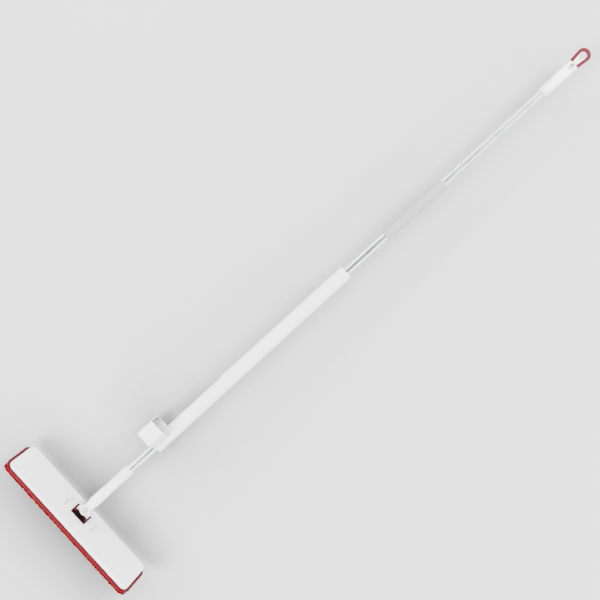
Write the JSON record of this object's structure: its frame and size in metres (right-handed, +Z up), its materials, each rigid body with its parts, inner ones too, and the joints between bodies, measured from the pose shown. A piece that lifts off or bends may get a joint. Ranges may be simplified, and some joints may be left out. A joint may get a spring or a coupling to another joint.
{
  "type": "flat window washer",
  "caption": "Long-handled flat window washer with a hinged white head, red cleaning pad, sliding wringer sleeve, grey grip, telescopic pole and a red hanging loop",
  "frame": {"origin": "the middle of the hanging eye at the top of the pole", "axes": "+Z up the pole, +X along the head, -Y the side the near edge of the head hangs towards"},
  "size_m": [0.354, 0.1159, 1.4309],
  "materials": {
    "white_plastic": "moulded white polypropylene, soft gloss",
    "red_plastic": "moulded crimson plastic, soft gloss",
    "deep_red_plastic": "moulded dark red plastic",
    "grey_grip": "light grey soft-touch grip",
    "ring_plastic": "natural nylon",
    "roller_plastic": "satin white roller plastic",
    "tube_aluminium": "drawn satin aluminium",
    "pin_steel": "plain bright steel",
    "hook_nylon": "dark red hook tape",
    "pad_backing_cloth": "woven red backing",
    "pad_microfibre": "looped red microfibre with dark tips"
  },
  "bodies": {
    "upper_pole": {"upper_tube": "tube_aluminium", "end_cap": "white_plastic", "hang_loop": "red_plastic", "lock_plug": "white_plastic"},
    "lock": {"lock_ring": "ring_plastic"},
    "lower_pole": {"lower_tube": "tube_aluminium", "grip": "grey_grip", "mouth_bush": "white_plastic", "neck": "white_plastic", "neck_collar": "white_plastic", "swing_pin": "pin_steel", "pin_caps": "ring_plastic"},
    "button": {"snap_button": "white_plastic", "button_spring": "pin_steel"},
    "wringer": {"sleeve_shell": "white_plastic", "upper_bush": "white_plastic", "lower_bush": "white_plastic", "squeeze_box": "white_plastic", "roller_axles": "pin_steel", "scraper_bar": "white_plastic"},
    "low_roller": {"lower_roller": "roller_plastic"},
    "high_roller": {"upper_roller": "roller_plastic"},
    "pivot": {"pivot_block": "white_plastic", "tilt_rocker": "deep_red_plastic"},
    "head": {"top_plate": "white_plastic", "base_plate": "red_plastic", "tilt_pins": "pin_steel", "plate_screws": "pin_steel", "hook_strips": "hook_nylon", "pad_backing": "pad_backing_cloth", "cleaning_pad": "pad_microfibre"}
  },
  "joints": [
    {"name": "lock_twist", "type": "hinge", "parent": "upper_pole", "child": "lock", "pos_m": [0, 0, -0.633], "axis": [0, 0, 1], "range_deg": [-20, 20]},
    {"name": "pole_telescope", "type": "slide", "parent": "upper_pole", "child": "lower_pole", "axis": [0, 0, 1], "range_m": [-0.06, 0.24]},
    {"name": "button_press", "type": "slide", "parent": "lower_pole", "child": "button", "axis": [0, 1, 0], "range_m": [0, 0.0025], "stiffness_N_per_m": 400, "deforming": ["button_spring"]},
    {"name": "sleeve_slide", "type": "slide", "parent": "lower_pole", "child": "wringer", "axis": [0, 0, 1], "range_m": [-0.006, 0.095]},
    {"name": "lower_roller_spin", "type": "hinge", "parent": "wringer", "child": "low_roller", "pos_m": [-0.0376, 0, -1.162], "axis": [0, 1, 0], "continuous": true},
    {"name": "upper_roller_spin", "type": "hinge", "parent": "wringer", "child": "high_roller", "pos_m": [-0.0376, 0, -1.142], "axis": [0, 1, 0], "continuous": true},
    {"name": "head_swing", "type": "hinge", "parent": "lower_pole", "child": "pivot", "pos_m": [0, 0, -1.36], "axis": [0, 1, 0], "range_deg": [-90, 90]},
    {"name": "head_tilt", "type": "hinge", "parent": "pivot", "child": "head", "pos_m": [0, 0, -1.3757], "axis": [1, 0, 0], "range_deg": [-61, 19]}
  ]
}
